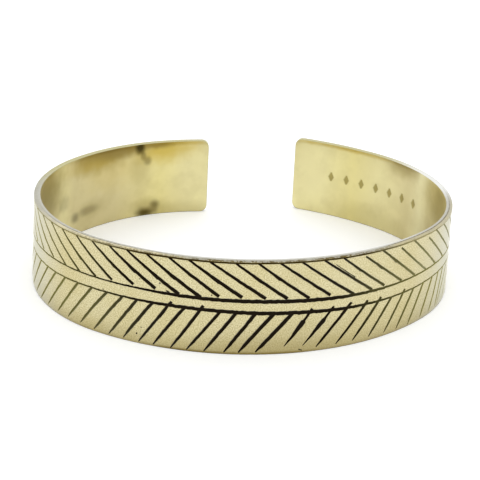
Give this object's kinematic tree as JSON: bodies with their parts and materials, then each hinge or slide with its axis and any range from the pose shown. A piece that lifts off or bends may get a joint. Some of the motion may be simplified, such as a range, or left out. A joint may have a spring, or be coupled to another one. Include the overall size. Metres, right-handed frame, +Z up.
{
  "type": "cuff bracelet",
  "caption": "Open oval cuff bracelet bent from a strip of brass, its outer face engraved with a feather pattern above and below a central stem.",
  "frame": {"origin": "middle of the oval's bounding box, on the plane of the lower edge that the cuff stands on", "axes": "+Z up along the wrist's direction, +X along the oval's long axis, +Y towards the opening between the two ends"},
  "size_m": [0.0612, 0.0492, 0.0127],
  "materials": {
    "brass": "matte, fine grained outside, darkened in the cuts"
  },
  "bodies": {
    "root": {"cuff": "brass"}
  },
  "joints": []
}
